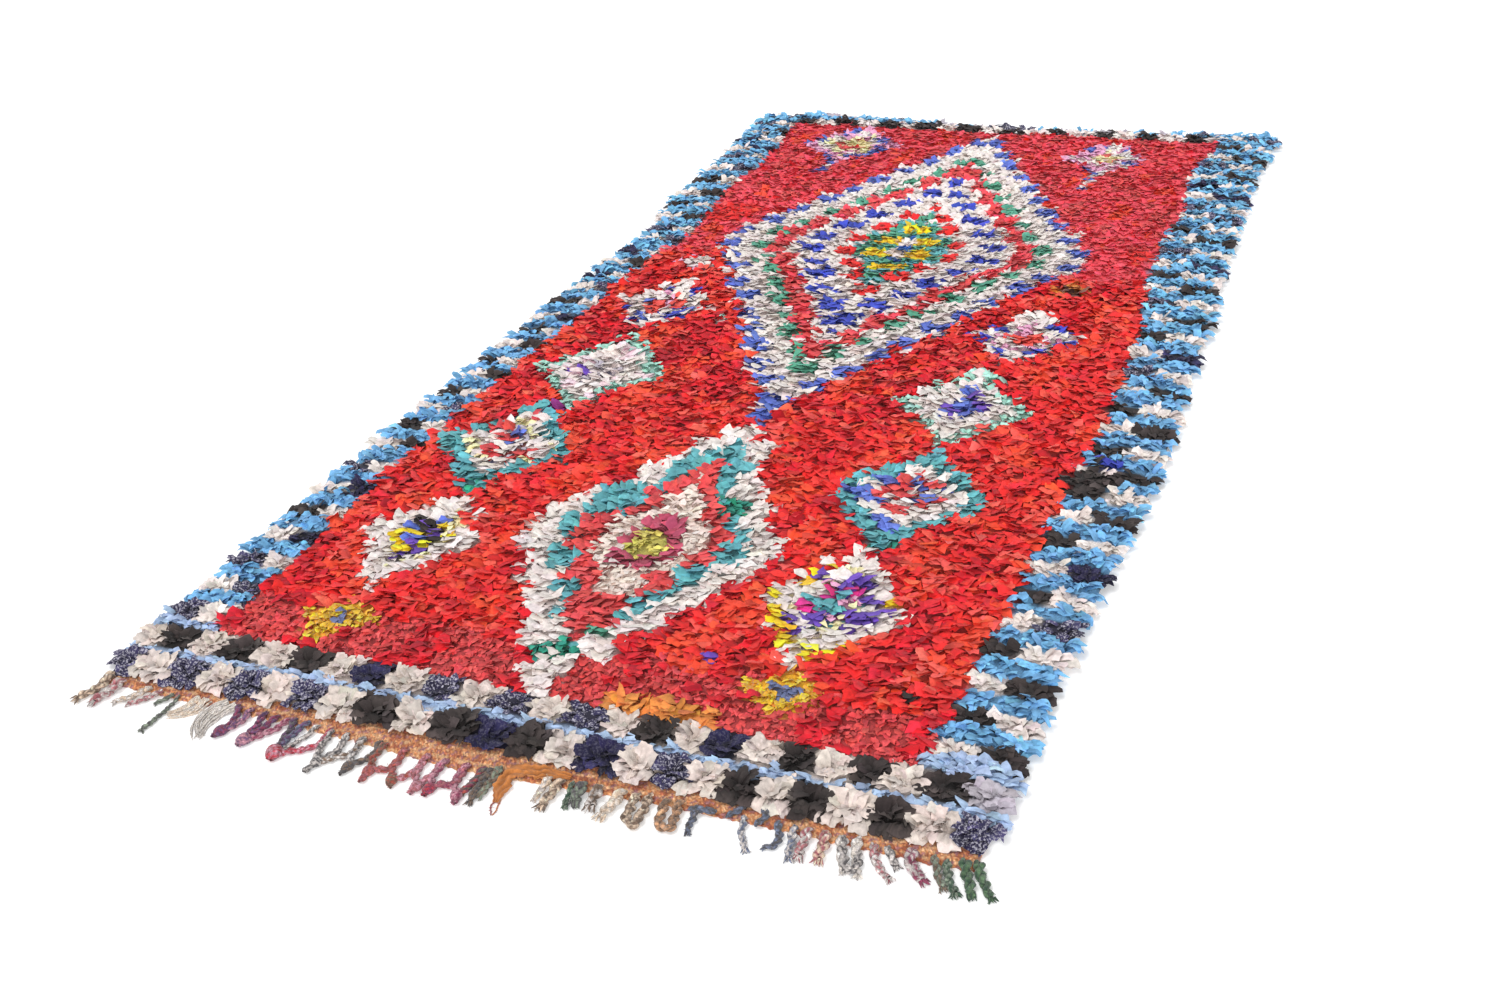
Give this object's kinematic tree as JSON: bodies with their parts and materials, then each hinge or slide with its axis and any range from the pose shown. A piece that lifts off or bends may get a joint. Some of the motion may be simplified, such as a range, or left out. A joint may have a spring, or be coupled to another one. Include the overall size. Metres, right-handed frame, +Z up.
{
  "type": "rag rug",
  "caption": "Long shaggy rug of knotted rags that lies flat on a floor, with a flat-woven end, a netted and loose warp fringe there, and an orange rag threaded through it.",
  "frame": {"origin": "on the underside, where it lies on the floor, in the middle of the pile's width and length", "axes": "+Y along the rug, from its fringed end to its far end; +X across it, to the right when it is seen from the fringed end; +Z up out of the pile"},
  "size_m": [1.3915, 2.7052, 0.031],
  "materials": {
    "pile": "knotted ends of torn cotton and jersey rag, matt and crumpled, with some wool",
    "fringe": "plain weave of orange and beige tweed yarn, matt, with plied warp ends",
    "rag": "torn cotton jersey, matt and curled at its edges"
  },
  "bodies": {
    "root": {"rug_pile": "pile", "end_weave_fringe": "fringe", "orange_rag": "rag"}
  },
  "joints": []
}
